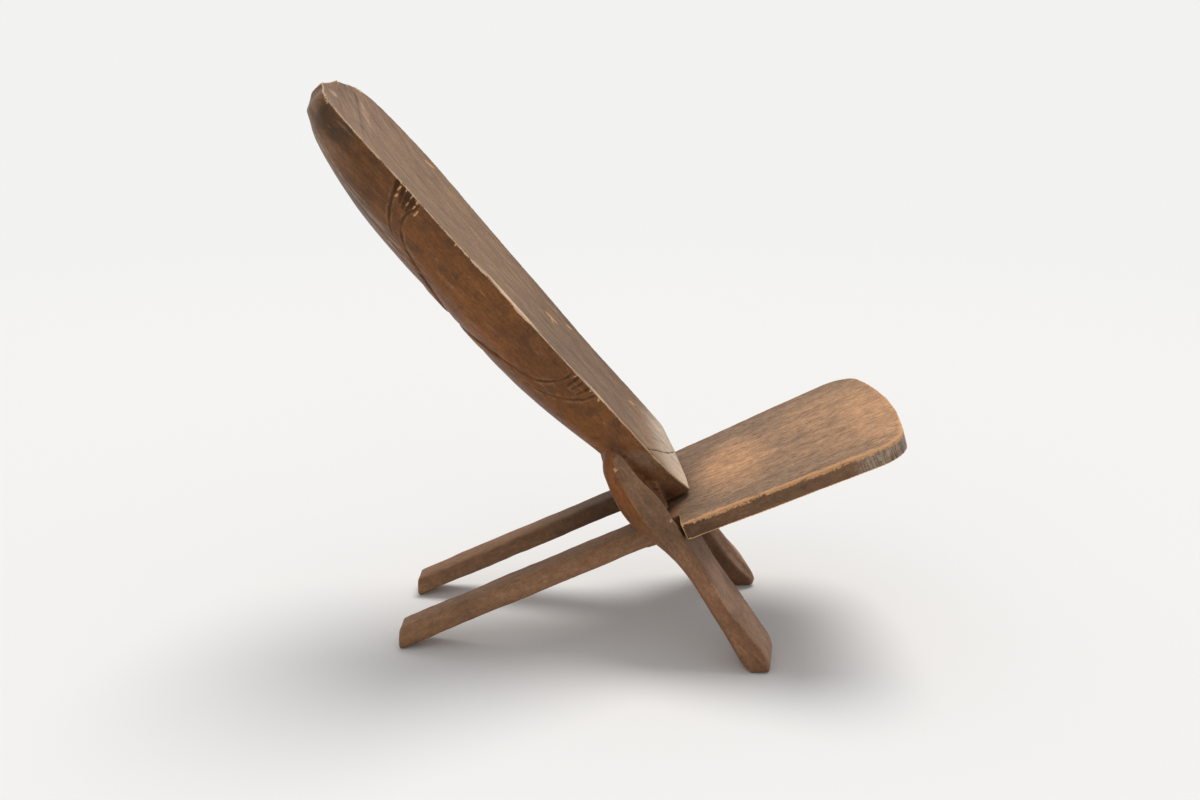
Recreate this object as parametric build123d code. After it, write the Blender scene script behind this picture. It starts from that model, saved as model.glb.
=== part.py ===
from build123d import *
import math
import os

# Birthing chair of two hand-carved planks that cross and lock without any fastener.
# All sizes are millimetres. The sitter faces +X, +Z is up, and the floor is z = 0.
# The chair is laid out about a point on the floor between its feet. At the end it is
# moved along X and Y, so that the origin is the centre of its bounding box's base.

# ---- driving dimensions ------------------------------------------------------------
BACK_ANGLE = 48.9  # slope of the back's front face, degrees from the floor
SEAT_ANGLE = 24.5  # slope of the seat plank, degrees from the floor
CROSSING = (146.0, 213.1)  # x and z where the face of the back would meet the seat's top
BACK_LENGTH = 717.0  # face of the back, from its top edge down to the seat
FACE_DISH = 5.0  # hollow across the face of the back

SEAT_THICK = 26.0
SEAT_TAPER = 8.0  # degrees by which the seat's edges lean inwards on their way down
SEAT_FRONT = 295.0  # from the crossing to the front edge, along the seat
SEAT_HALF_REAR = 152.0  # half the seat's width at its shoulders
SEAT_HALF_FRONT = 178.0  # half its width at the front corners
CORNER_BACKS = (13.0, 29.0)  # how far the right and the left corner lie behind the front
CORNER_ROUNDS = (43.0, 52.0)  # radii of the right and the left front corner
SHOULDER = -26.0  # where the shoulders stand, along the seat from the crossing

REAR_LEG_THICK = 28.0
REAR_LEGS_HALF = 117.0  # half the width over both rear legs
REAR_GAP_HALF = 64.0  # half the gap between them
REAR_GAP_END = -84.0  # front end of that gap, along the seat
REAR_FEET_X = -261.0  # upright end faces of the rear feet
LEG_FACET = 10.0  # facet along each rear leg's upper outer edge
LEG_ARRIS = 4.0  # small facet along its other edges

PLAY = 0.4  # clearance over, under and behind the seat plank
SIDE_PLAY = 1.0  # clearance beside the rear legs in the window
TONGUE_GAP = 7.0  # how far the lower edge of the back hovers over the seat
SQUARENESS = 3.0  # power of the rounded outline at the rear of the back

REACH = 700.0  # longer than any one piece, for cutting blocks


# ---- directions ------------------------------------------------------------------------
def slope(angle):
    """Unit vector in the side plane, angle degrees above +X."""
    return Vector(math.cos(math.radians(angle)), 0, math.sin(math.radians(angle)))


FACE_DOWN = slope(-BACK_ANGLE)  # down the face of the back
SEAT_FORWARD = slope(SEAT_ANGLE)
SEAT_UP = slope(SEAT_ANGLE + 90)
LEFT = Vector(0, 1, 0)
CROSS_POINT = Vector(CROSSING[0], 0, CROSSING[1])


def face_point(down, left=0.0):
    """Point on the face of the back, down from its top edge."""
    return CROSS_POINT + FACE_DOWN * (down - BACK_LENGTH) + LEFT * left


def seat_point(forward, left=0.0, up=0.0):
    """Point counted from the crossing in the directions of the seat plank."""
    return CROSS_POINT + SEAT_FORWARD * forward + LEFT * left + SEAT_UP * up


SEAT_PLANE = Plane(origin=CROSS_POINT, x_dir=SEAT_FORWARD, z_dir=SEAT_UP)


def seat_block(rear, front, half_width, top, bottom):
    """Block along the seat plank, its levels counted from the plank's top."""
    centre = Location(((rear + front) / 2, 0, (top + bottom) / 2))
    return SEAT_PLANE * centre * Box(front - rear, 2 * half_width, top - bottom)


def round_rear(right, left, front, rear):
    """Outline of a squarish rounded rear, as (front to rear, sideways) points."""
    points = []
    steps = 12
    for step in range(steps + 1):
        turn = math.pi * step / steps
        side = math.copysign(abs(math.cos(turn)) ** (2 / SQUARENESS), math.cos(turn))
        deep = abs(math.sin(turn)) ** (2 / SQUARENESS)
        across = (left + right) / 2 + side * (left - right) / 2
        points.append((front + (rear - front) * deep, across))
    return points


# ---- the back: thick leaf-shaped panel --------------------------------------------------
# Stations down the face: distance from the top, right edge, left edge, depth.
PANEL = [
    (-12, -90, 0, 27),
    (0, -120, 52, 46),
    (12, -133, 92, 52),
    (34, -141, 118, 60),
    (70, -142, 134, 71),
    (130, -137, 149, 84),
    (220, -135, 138, 89),
    (330, -128, 128, 90),
    (440, -119, 119, 88),
    (530, -108, 118, 77),
    (600, -100, 124, 66),
    (645, -96, 126, 62),
    (690, -74, 118, 58),
    (735, -66, 110, 56),
]


def panel_section(station):
    """Slice across the panel: shallow hollow in front, rounded at the rear."""
    down, right, left, depth = station
    plane = Plane(origin=face_point(down), x_dir=LEFT, z_dir=FACE_DOWN)
    rear = [(across, deep) for deep, across in round_rear(right, left, 0, -depth)]
    hollow = FACE_DISH * (left - right) / 240
    front = ThreePointArc(rear[-1], ((left + right) / 2, -hollow), rear[0])
    return plane * make_face([Spline(*rear), front])


# Level stations down the block that fills the crossing: height, rear, front, half width.
BLOCK = [
    (304, 24, 60, 78),
    (268, 13, 76, 84),
    (240, 20, 92, 88),
    (212, 30, 106, 90),
    (186, 44, 116, 92),
    (140, 72, 140, 92),
]


def block_section(station):
    """Level slice of the block: straight in front, rounded like a barrel at the rear."""
    height, rear, front, half = station
    outline = round_rear(-half, half, front, rear)
    face = make_face([Spline(*outline), Line(outline[-1], outline[0])])
    return Location((0, 0, height)) * face


# Level stations down a front leg: height, then its five corners as (x, distance from
# the middle): rear outer, front outer, front inner, rear inner, rear facet.
FRONT_LEG = [
    (288, (30, 98), (36, 98), (31, 84), (24, 84), (26, 92)),
    (276, (33, 110), (51, 110), (37, 80), (20, 80), (23, 96)),
    (262, (36, 118), (63, 118), (48, 76), (19, 76), (22, 101)),
    (246, (45, 126), (79, 126), (63, 72), (20, 72), (25, 106)),
    (230, (56, 133), (96, 133), (80, 70), (26, 70), (31, 110)),
    (208, (71, 142), (112, 142), (98, 72), (38, 72), (43, 116)),
    (190, (86, 149), (124, 149), (119, 76), (54, 76), (58, 123)),
    (168, (107, 155), (136, 155), (150, 82), (88, 82), (88, 132)),
    (140, (132, 161), (156, 161), (169, 87), (127, 87), (121, 140)),
    (93, (165, 168), (186, 168), (203, 96), (160, 96), (155, 148)),
    (44, (194, 175), (226, 175), (238, 103), (194, 103), (186, 155)),
    (13, (211, 180), (244, 180), (256, 108), (212, 108), (204, 158)),
    (0, (219, 177), (245, 177), (251, 113), (217, 113), (211, 160)),
]


def leg_section(station, side):
    """Level slice of a front leg: right is side -1, left is side 1."""
    corners = [(x, side * out) for x, out in station[1:]]
    return Location((0, 0, station[0])) * make_face(Polyline(*corners, close=True))


# The lower left of the face is bevelled down to the seat. The bevel's plane passes
# through these three points.
BEVEL_TIP = seat_point(-2, -48)
BEVEL_LEFT = seat_point(-14, 110)
BEVEL_TOP = face_point(656, 126)


def make_bevel():
    """Everything that stands in front of the bevel."""
    along = BEVEL_LEFT - BEVEL_TIP
    outwards = along.cross(BEVEL_TOP - BEVEL_TIP)
    if outwards.X < 0:
        outwards = outwards * -1
    plane = Plane(origin=BEVEL_TIP, x_dir=along, z_dir=outwards)
    return plane * Location((0, 0, REACH / 2)) * Box(REACH, REACH, REACH)


def make_window():
    """Space in the back through which the seat plank slides."""
    neck = seat_block(-REACH, REACH, REAR_LEGS_HALF + SIDE_PLAY, PLAY, -REAR_LEG_THICK - PLAY)
    board = seat_block(SHOULDER - PLAY, REACH, REACH / 2, PLAY, -SEAT_THICK - PLAY)
    relief = Polyline((-80, 0), (0, TONGUE_GAP), (30, TONGUE_GAP), (30, 0), close=True)
    side = Plane(origin=CROSS_POINT, x_dir=SEAT_FORWARD, z_dir=LEFT * -1)
    wedge = extrude(side * make_face(relief), REAR_LEGS_HALF, both=True)
    return neck + board + wedge


def make_back():
    panel = loft([panel_section(station) for station in PANEL]) - make_bevel()
    block = loft([block_section(station) for station in BLOCK])
    body = (panel + block) - seat_block(-REACH, REACH, REACH / 2, 0, -REACH)
    for side in (-1, 1):
        body += loft([leg_section(station, side) for station in FRONT_LEG])
    return body - make_window()


# ---- the seat and its rear legs ------------------------------------------------------------
def make_board():
    """Sitting surface: widens forwards, bowed front edge, one corner rounder."""
    right = (SEAT_FRONT - CORNER_BACKS[0], -SEAT_HALF_FRONT)
    left = (SEAT_FRONT - CORNER_BACKS[1], SEAT_HALF_FRONT)
    spare = 15.0  # cut off squarely at the shoulders below
    rear = SHOULDER - spare
    outline = make_face([
        Line((rear, -SEAT_HALF_REAR), right),
        ThreePointArc(right, (SEAT_FRONT, -10), left),
        Line(left, (rear, SEAT_HALF_REAR)),
        Line((rear, SEAT_HALF_REAR), (rear, -SEAT_HALF_REAR)),
    ])
    for corner, radius in zip((right, left), CORNER_ROUNDS):
        outline = fillet(outline.vertices().sort_by_distance(corner)[0], radius)
    board = extrude(SEAT_PLANE * outline, -SEAT_THICK, taper=SEAT_TAPER)
    return board - seat_block(-REACH, SHOULDER, REACH / 2, 10, -REACH / 2)


def make_rear_leg(side):
    """Faceted rear leg, from the end of the gap back past the floor."""
    inner = REAR_GAP_HALF
    outer = REAR_LEGS_HALF
    low = -REAR_LEG_THICK
    corners = [
        (inner, -LEG_ARRIS),
        (inner + LEG_ARRIS, 0),
        (outer - LEG_FACET, 0),
        (outer, -LEG_FACET),
        (outer, low + LEG_ARRIS),
        (outer - LEG_ARRIS, low),
        (inner + LEG_ARRIS, low),
        (inner, low + LEG_ARRIS),
    ]
    profile = make_face(Polyline(*[(side * left, up) for left, up in corners], close=True))
    start = Plane(origin=seat_point(REAR_GAP_END), x_dir=LEFT, z_dir=SEAT_FORWARD)
    return extrude(start * profile, -REACH)


def make_seat():
    neck = seat_block(REAR_GAP_END, SHOULDER + 30, REAR_LEGS_HALF, 0, -REAR_LEG_THICK)
    body = make_board() + neck
    for side in (-1, 1):
        body += make_rear_leg(side)
    below_floor = Location((0, 0, -REACH / 2)) * Box(2 * REACH, REACH, REACH)
    behind_feet = Location((REAR_FEET_X - REACH / 2, 0, 0)) * Box(REACH, REACH, 2 * REACH)
    return body - below_floor - behind_feet


# ---- write the two pieces ---------------------------------------------------------------------
pieces = {"back_with_front_legs": make_back(), "seat_with_rear_legs": make_seat()}

boxes = [piece.bounding_box() for piece in pieces.values()]
low_x = min(box.min.X for box in boxes)
high_x = max(box.max.X for box in boxes)
low_y = min(box.min.Y for box in boxes)
high_y = max(box.max.Y for box in boxes)
to_origin = Location((-(low_x + high_x) / 2, -(low_y + high_y) / 2, 0))
print("moved by", to_origin.position)

os.makedirs("parts", exist_ok=True)
for name, piece in pieces.items():
    placed = to_origin * piece
    export_step(placed, "parts/" + name + ".step")
    box = placed.bounding_box()
    print(name, "solids", len(placed.solids()), "litres", round(placed.volume / 1e6, 2), box)
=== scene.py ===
import math
from types import SimpleNamespace
import bmesh
import bpy
import numpy as np
from mathutils import Matrix, Vector


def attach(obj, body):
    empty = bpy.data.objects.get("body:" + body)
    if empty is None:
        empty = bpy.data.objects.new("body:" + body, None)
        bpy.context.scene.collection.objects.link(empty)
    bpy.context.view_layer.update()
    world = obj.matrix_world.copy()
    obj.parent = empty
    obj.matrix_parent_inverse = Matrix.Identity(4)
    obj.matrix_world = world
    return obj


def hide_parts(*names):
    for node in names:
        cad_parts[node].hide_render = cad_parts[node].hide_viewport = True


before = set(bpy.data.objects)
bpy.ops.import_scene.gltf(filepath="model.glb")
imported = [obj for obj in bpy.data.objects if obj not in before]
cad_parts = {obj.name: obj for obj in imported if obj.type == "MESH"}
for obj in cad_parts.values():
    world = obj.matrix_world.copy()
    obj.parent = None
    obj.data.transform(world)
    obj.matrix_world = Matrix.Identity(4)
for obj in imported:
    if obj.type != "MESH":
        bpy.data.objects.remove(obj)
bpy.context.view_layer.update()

# A birthing chair of two hand-carved planks. Points, grids and ripples are in metres. The
# planks' own coordinates, the tables and the distances worked out from them are in millimetres.
# The back's own coordinates are down its face, deep behind its face, and side (+Y left).
# The seat's own coordinates are forward along the plank, side, and up from its top.
MM = 1000  # millimetres in a metre

# ---- the chair's lines ----
BACK_ANGLE = 48.9  # slope of the back's face, degrees from the floor
SEAT_ANGLE = 24.5  # slope of the seat plank
CROSSING = np.array([0.11492, 0.0, 0.2131])  # where the back's face would meet the seat
BACK_LENGTH_MM = 717.0

COARSER = 1.0
BACK_GRID = 0.0031 * COARSER  # grids on which the carved skins are made
SEAT_GRID = 0.0025 * COARSER


def slope(angle):
    """Unit vector in the side plane, angle degrees above +X."""
    return np.array([math.cos(math.radians(angle)), 0.0, math.sin(math.radians(angle))])


FACE_DOWN = slope(-BACK_ANGLE)
FACE_OUT = slope(90 - BACK_ANGLE)
SEAT_FORWARD = slope(SEAT_ANGLE)
SEAT_UP = slope(SEAT_ANGLE + 90)


def back_coordinates(points):
    """Down, deep and side in millimetres: dot products with the back's directions."""
    offset = (points - CROSSING) * MM
    down = offset @ FACE_DOWN + BACK_LENGTH_MM
    return down, -(offset @ FACE_OUT), offset[:, 1]


def seat_coordinates(points):
    """Forward, side and up in millimetres: dot products with the seat's directions."""
    offset = (points - CROSSING) * MM
    return offset @ SEAT_FORWARD, offset[:, 1], offset @ SEAT_UP


# ---- numpy helpers ----
def ramp(value, low, high):
    """Smooth step: 0 at low, 1 at high, and 3t^2 - 2t^3 between them. Low may be the larger."""
    t = np.clip((value - low) / (high - low), 0, 1)
    return t * t * (3 - 2 * t)


def hump(value, centre, width):
    """Bell about centre: exp of minus the squared distance in widths."""
    return np.exp(-(((value - centre) / width) ** 2))


def ripple(points, size, seed):
    """Smooth random field, about -1 to 1: the mean of 14 sine waves that run in random
    directions with a wavelength of size, times the square root of their number."""
    random = np.random.default_rng(seed)
    waves = 14
    direction = random.normal(size=(waves, 3))
    direction /= np.linalg.norm(direction, axis=1)[:, None]
    length = size * random.uniform(0.7, 1.4, waves)
    phase = random.uniform(0, 2 * math.pi, waves)
    angle = points @ (direction * (2 * math.pi / length)[:, None]).T + phase
    return np.sin(angle).sum(axis=1) / math.sqrt(waves)


def read_table(table, at):
    """Each further column of a table, read off between its rows where the first column is at."""
    return [np.interp(at, table[:, 0], column) for column in table.T[1:]]


def line_distance(across, along, rows):
    """Signed distance from points to a band, negative inside it. rows are the band's
    middle line as (across, along, half width). For each leg of the line the nearest point
    is found by projection, and the half width there is taken off the distance."""
    nearest = np.full(len(across), np.inf)
    for (a0, b0, w0), (a1, b1, w1) in zip(rows, rows[1:]):
        run = np.array([a1 - a0, b1 - b0])
        share = ((across - a0) * run[0] + (along - b0) * run[1]) / (run @ run)
        share = np.clip(share, 0, 1)
        gap = np.hypot(across - a0 - share * run[0], along - b0 - share * run[1])
        nearest = np.minimum(nearest, gap - (w0 + share * (w1 - w0)))
    return nearest


ARRIS_REACH = 0.012  # past this distance, an arris no longer matters


def nearest_arris(points, arrises):
    """Distance in millimetres from each point to the nearest sharp edge of the solid, and
    that nearest place. The points are sorted along X, so that each edge is only compared,
    by projection, with the points beside it."""
    nearest = np.full(len(points), ARRIS_REACH)
    place = points.copy()
    order = np.argsort(points[:, 0])
    sorted_x = points[order, 0]
    low = np.searchsorted(sorted_x, arrises[:, :, 0].min(axis=1) - ARRIS_REACH)
    high = np.searchsorted(sorted_x, arrises[:, :, 0].max(axis=1) + ARRIS_REACH)
    for (start, end), first, last in zip(arrises, low, high):
        beside = order[first:last]
        here, run = points[beside], end - start
        share = np.clip((here - start) @ run / max(run @ run, 1e-12), 0, 1)
        foot = start + share[:, None] * run
        gap = np.linalg.norm(here - foot, axis=1)
        closer = gap < nearest[beside]
        nearest[beside[closer]] = gap[closer]
        place[beside[closer]] = foot[closer]
    return nearest * MM, place


# ---- skins: the solids' surfaces on a fine grid ----
SHARP = math.radians(32)  # edges that turn more than this are arrises
SET_WITHIN = 0.45  # vertices nearer to an arris than this are set on it, in steps of the grid
CUT_WITHIN = 2.0  # edges that jump over an arris nearer than this are cut, in steps of the grid
ALIKE = 0.75  # directions whose cosine is below this differ clearly
ON_ARRIS_MM = 0.1  # a vertex nearer than this lies on the arris


def add_object(name, data):
    """A new object in the scene, for a mesh, a camera or a lamp."""
    made = bpy.data.objects.new(name, data)
    bpy.context.scene.collection.objects.link(made)
    return made


def merged_copy(node):
    """A copy of a node's mesh with its loose triangles joined, and its sharp edges."""
    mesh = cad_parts[node].data.copy()
    work = bmesh.new()
    work.from_mesh(mesh)
    bmesh.ops.remove_doubles(work, verts=work.verts, dist=1e-5)
    sharp = [e for e in work.edges if len(e.link_faces) == 2 and e.calc_face_angle() > SHARP]
    arrises = np.array([[tuple(v.co) for v in edge.verts] for edge in sharp])
    work.to_mesh(mesh)
    work.free()
    return mesh, arrises


def remeshed(mesh, name, arrises, grid_size):
    """The same closed surface as even quads: Blender's voxel remesh, drawn back onto the
    solid, with the vertices next to a sharp edge set on it so that it stays crisp."""
    solid, rough = (add_object(name + ending, mesh) for ending in ("_solid", "_rough"))
    grid = rough.modifiers.new("even grid", "REMESH")
    grid.mode = "VOXEL"
    grid.voxel_size = grid_size
    cling = rough.modifiers.new("onto the solid", "SHRINKWRAP")
    cling.wrap_method = "NEAREST_SURFACEPOINT"
    cling.target = solid
    finished = rough.evaluated_get(bpy.context.evaluated_depsgraph_get())
    even = bpy.data.meshes.new_from_object(finished)
    bpy.data.objects.remove(rough)
    bpy.data.objects.remove(solid)
    even.name = name
    points = read_points(even)
    distance, place = nearest_arris(points, arrises)
    beside = distance < SET_WITHIN * grid_size * MM
    points[beside] = place[beside]
    write_points(even, points)
    cut_along(even, arrises, CUT_WITHIN * grid_size * MM)
    return even


def cut_along(mesh, arrises, reach):
    """Splits the mesh's edges that jump over an arris, and sets each new vertex on it. An
    edge jumps where its ends lie beside an arris in directions that differ clearly."""
    points = read_points(mesh)
    distance, place = nearest_arris(points, arrises)
    one, other = read_edges(mesh)
    away = points - place
    length = np.maximum(np.linalg.norm(away, axis=1), 1e-9)
    cosine = (away[one] * away[other]).sum(axis=1) / (length[one] * length[other])
    jumps = (cosine < ALIKE) & (np.maximum(distance[one], distance[other]) < reach)
    jumps &= np.minimum(distance[one], distance[other]) > ON_ARRIS_MM
    work = bmesh.new()
    work.from_mesh(mesh)
    bmesh.ops.subdivide_edges(work, edges=[e for e in work.edges if jumps[e.index]], cuts=1)
    bmesh.ops.triangulate(work, faces=[f for f in work.faces if len(f.verts) > 4])
    work.to_mesh(mesh)
    work.free()
    new_points = read_points(mesh)
    _, place = nearest_arris(new_points[len(points):], arrises)
    new_points[len(points):] = place
    write_points(mesh, new_points)


def read_points(mesh):
    points = np.empty(len(mesh.vertices) * 3)
    mesh.vertices.foreach_get("co", points)
    return points.reshape(-1, 3)


def write_points(mesh, points):
    mesh.vertices.foreach_set("co", points.ravel())
    mesh.update()


def read_edges(mesh):
    pairs = np.empty(len(mesh.edges) * 2, dtype=np.int64)
    mesh.edges.foreach_get("vertices", pairs)
    return pairs.reshape(-1, 2).T


def read_normals(mesh):
    normals = np.empty(len(mesh.vertices) * 3)
    mesh.vertex_normals.foreach_get("vector", normals)
    return normals.reshape(-1, 3)


def soften(mesh, strength, rounds):
    """Worn edges: each round moves every vertex towards the mean of its neighbours by
    strength, a share from 0 to 1 for each vertex. Flat places stay flat."""
    one, other = read_edges(mesh)
    count = len(mesh.vertices)
    neighbours = np.bincount(one, minlength=count) + np.bincount(other, minlength=count)
    points = read_points(mesh)
    for _ in range(rounds):
        total = np.stack([
            np.bincount(one, points[other, axis], count)
            + np.bincount(other, points[one, axis], count)
            for axis in range(3)
        ], axis=1)
        points += (total / neighbours[:, None] - points) * strength[:, None]
    write_points(mesh, points)


def halve_faces(mesh, wanted):
    """Halves the edges between wanted vertices, and divides the faces there into smaller
    ones, so that cuts come out crisp."""
    work = bmesh.new()
    work.from_mesh(mesh)
    work.verts.ensure_lookup_table()
    edges = [e for e in work.edges if wanted[e.verts[0].index] and wanted[e.verts[1].index]]
    bmesh.ops.subdivide_edges(work, edges=edges, cuts=1, use_grid_fill=True)
    bmesh.ops.triangulate(work, faces=[f for f in work.faces if len(f.verts) > 4])
    work.to_mesh(mesh)
    work.free()


FAR_MM = 60.0  # distance that stands for no cut, crack or arris nearby
LEG_FIBRE = 0.28  # how strong the grain's streaks are on the legs


def write_layers(mesh, flow, fresh, patina_and_painted_light, **values):
    """Stores what the material reads at each vertex: its place in the grain, the linear
    colours of fresh and of aged wood, with painted light and shade in them, and named values, an array or one
    number for all."""
    count = len(mesh.vertices)
    for name, value in values.items():
        layer = mesh.attributes.new(name, "FLOAT", "POINT")
        layer.data.foreach_set("value", np.broadcast_to(value, count).astype(np.float32))
    layer = mesh.attributes.new("flow", "FLOAT_VECTOR", "POINT")
    layer.data.foreach_set("vector", flow.astype(np.float32).ravel())
    for name, colours in (("fresh", fresh), ("patina_and_painted_light", patina_and_painted_light)):
        layer = mesh.attributes.new(name, "FLOAT_COLOR", "POINT")
        opaque = np.ones((count, 4), np.float32)
        opaque[:, :3] = colours
        layer.data.foreach_set("color", opaque.ravel())


def even_skin(node, grid_size):
    """A node's surface as an even mesh, softened once, with the solid's sharp edges. Also
    the vertices' places before the softening, and their distances from those edges."""
    mesh, arrises = merged_copy(node)
    skin = remeshed(mesh, "carved_" + node, arrises, grid_size)
    points = read_points(skin)
    distance, _ = nearest_arris(points, arrises)
    soften(skin, 0.25 + 0.25 * ramp(distance, 4, 1), 1)
    return skin, arrises, points, distance


def finish_piece(mesh, node, body):
    """Makes the object for a finished skin, smooth shaded, standing for its solid."""
    mesh.polygons.foreach_set("use_smooth", np.ones(len(mesh.polygons), bool))
    piece = add_object("carved_" + node, mesh)
    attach(piece, body)
    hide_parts(node)
    return piece


# ---- colours: painted as they look, kept as linear light ----
def paint(red, green, blue):
    """Linear colour of an sRGB colour given from 0 to 255."""
    screen = np.array([red, green, blue]) / 255
    return np.where(screen <= 0.04045, screen / 12.92, ((screen + 0.055) / 1.055) ** 2.4)


GREY_BROWN = paint(142, 111, 84)  # the back's face
PALE_GREY = paint(208, 190, 170)  # bleached wood
ROSY_GREY = paint(146, 115, 91)  # the face near its top
WAXED_BROWN = paint(125, 77, 36)  # polished sides and rear
DEEP_BROWN = paint(64, 42, 25)  # soot and old wax
STAIN = paint(66, 48, 32)  # soot and old wax, and painted shade where it darkens shaded places
ORANGE_BROWN = paint(128, 76, 34)  # rubbed undersides
LIMB_BROWN = paint(128, 97, 72)
RED_BROWN = paint(138, 98, 70)  # lower legs
LIT_FACET_PINK = paint(176, 138, 112)  # painted light: upper facets of the front legs that face forward and up, made paler
SEAT_GREY = paint(148, 120, 95)
SEAT_TAN = paint(212, 161, 118)  # where the seat is worn
SEAT_SIDE = paint(112, 82, 58)
LEG_BROWN = paint(145, 107, 77)  # rear legs
PALE_WORN_AND_HIGHLIGHT = paint(236, 200, 164)  # rubbed edges of the face, made brighter as a painted highlight on the arris
WORN_WOOD = paint(226, 170, 118)  # fresh wood on the seat's worn arrises
CHIP_WOOD = paint(200, 148, 98)
DIRT = paint(34, 25, 17)
SCUFF = paint(182, 163, 141)


def coated(ground, *coats):
    """A ground colour moved towards each coat's colour in turn, by the coat's share at each
    vertex. A coat is a colour and its shares."""
    colours = np.tile(ground, (len(coats[0][1]), 1))
    for colour, shares in coats:
        shares = np.clip(shares, 0, 1)[:, None]
        colours = colours * (1 - shares) + colour * shares
    return colours


# ---- the back: carved animal, cracks and wear ----
# Sections of the panel: distance down, right edge, left edge, depth.
PANEL_SECTIONS = np.array([
    (0, -120, 52, 46), (12, -133, 92, 52), (34, -141, 118, 60), (70, -142, 134, 71),
    (130, -137, 149, 84), (220, -135, 138, 89), (330, -128, 128, 90), (440, -119, 119, 88),
    (530, -108, 118, 77), (600, -100, 124, 66), (645, -96, 126, 62), (690, -74, 118, 58),
    (735, -66, 110, 56),
])
SQUARENESS = 3.0  # power of the rounded outline at the rear of the back
MEAN_HALF_MM, MEAN_DEPTH_MM = 126.0, 88.0


def round_the_rear(down, deep, side):
    """Way round the panel's surface from its face edge, in millimetres, and the whole way
    to the middle of the rear. The section is the curve |x|^n + |y|^n = 1, whose angle gives
    the way, read from a table of its length."""
    turn = np.linspace(0, math.pi / 2, 400)
    across = MEAN_HALF_MM * np.cos(turn) ** (2 / SQUARENESS)
    inwards = MEAN_DEPTH_MM * np.sin(turn) ** (2 / SQUARENESS)
    steps = np.hypot(np.diff(across), np.diff(inwards))
    way = np.concatenate([[0], np.cumsum(steps)])
    right, left, depth = read_table(PANEL_SECTIONS, down)
    x = np.abs(side - (left + right) / 2) / ((left - right) / 2)
    y = np.clip(deep, 0, None) / depth
    angle = np.arctan2(y ** (SQUARENESS / 2), x ** (SQUARENESS / 2))
    return np.interp(angle, turn, way), way[-1]


# The carved lizard clings to the rear of the back and grips the face's edges. Its limbs and
# toes are (way round from the face edge, distance down, half width), and its spine is
# (distance down, half width).
FORE_LIMB = [
    (-4, 161.5, 22.5), (10, 163, 17.5), (20, 164.5, 14), (30, 167.5, 11), (40, 173, 9), (50, 181.5, 7.5),
    (58, 193, 6.4), (66, 208, 6), (72, 224, 6.2), (80, 242, 7.5), (91, 264, 9.5), (107, 284, 11.5),
    (128, 297, 13.5), (158, 307, 15),
]
HIND_LIMB = [
    (-4, 492, 22.5), (10, 489.5, 20), (20, 485.5, 17), (30, 480, 14.5), (40, 471, 12), (50, 460, 9.5),
    (58, 447, 8), (66, 430, 7.2), (73, 411, 7.4), (81, 392, 8.5), (92, 370, 10), (108, 353, 12),
    (130, 343, 13.5), (158, 337, 15),
]
SPINE = np.array([
    (146, 0), (150, 8), (166, 17), (190, 21), (214, 18), (236, 13), (262, 22), (300, 34),
    (330, 36), (365, 31), (405, 18), (440, 12), (520, 8), (600, 4), (628, 0),
])
FORE_TOES = [
    [(0, 139.5, 1.2), (5, 142, 3.0), (11, 145.5, 2.0), (17, 149, 0.5)],
    [(0, 150.8, 0.8), (5, 153, 2.2), (12, 156.6, 2.0), (20, 161.6, 0.3)],
    [(0, 160.2, 1.0), (5, 162.2, 3.0), (12, 164.8, 2.6), (23, 169.2, 0.3)],
    [(0, 170.0, 1.0), (5, 171.5, 3.0), (12, 173, 2.4), (21, 174.4, 0.3)],
]
HIND_TOES = [
    [(2, 479.5, 0.4), (8, 479.5, 1.4), (22, 478, 0)],
    [(2, 488.5, 0.4), (8, 488.5, 1.4), (20, 486, 0)],
    [(2, 499, 0.4), (8, 499, 1.4), (21, 496, 0)],
]
# Strokes and a crack on the face, as rows of (side, distance down, half width). Before each
# stroke stands how strong it is.
CRACK = [(-94, 618, 0), (-65, 629, 0), (-35.5, 641.7, 0), (-9, 655, 0), (23, 671, 0), (60, 686, 0)]
DARK_STROKES = [
    (0.70, [(-34, 1, 0.8), (-44, 8, 1.4), (-68, 18.7, 1.0), (-101, 31, 0.3)]),
    (0.55, [(-11, 3.6, 0.6), (-25, 14, 0.9), (-40, 22, 0.3)]),
    (0.80, [(53, 10, 1.4), (42, 19, 2.4), (23, 27, 1.6), (-1, 38, 0.8), (-38, 52, 0.7), (-78, 64, 0.6),
            (-108, 74, 0.3)]),
    (0.45, [(51, 46, 2), (41, 57, 4), (32, 72, 2)]),
    (0.45, [(9.7, 634, 0.5), (23, 643, 0.9), (37, 652.6, 0.9), (56, 664.7, 0.3)]),
    (0.35, [(-50, 615.5, 0.3), (-29.5, 627.5, 0.7), (-8.5, 639.7, 0.4)]),
    (0.50, [(-88, 612, 0.4), (-86, 643, 1.0), (-80, 678, 0.6)]),
]
PALE_STROKES = [
    (0.24, [(43, 29, 3.0), (25, 40.6, 4.5), (-5, 55, 3.5), (-38, 69, 1.5)]),
    (0.34, [(-72, 1, 1.5), (-67, 4, 2.5), (-50, 8, 1.5)]),
    (0.22, [(-27, 30, 2.0), (-34, 38, 3.5), (-54, 47, 2.0)]),
    (0.28, [(-60, 662, 8.0), (-30, 690, 14.0), (20, 712, 12.0)]),
]
# Fresh chips on the face, as rows of (side, distance down, half width).
FACE_CHIPS = [
    [(44, 405, 1.5), (48, 415, 5.0), (51, 430, 1.5)], [(46, 415, 1.0), (36, 422, 1.5)],
    [(89, 447, 3.0), (95, 454, 2.0)], [(68, 587, 2.5), (73, 595, 3.0)], [(120, 140, 3.0), (127, 150, 4.0)],
]
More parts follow.
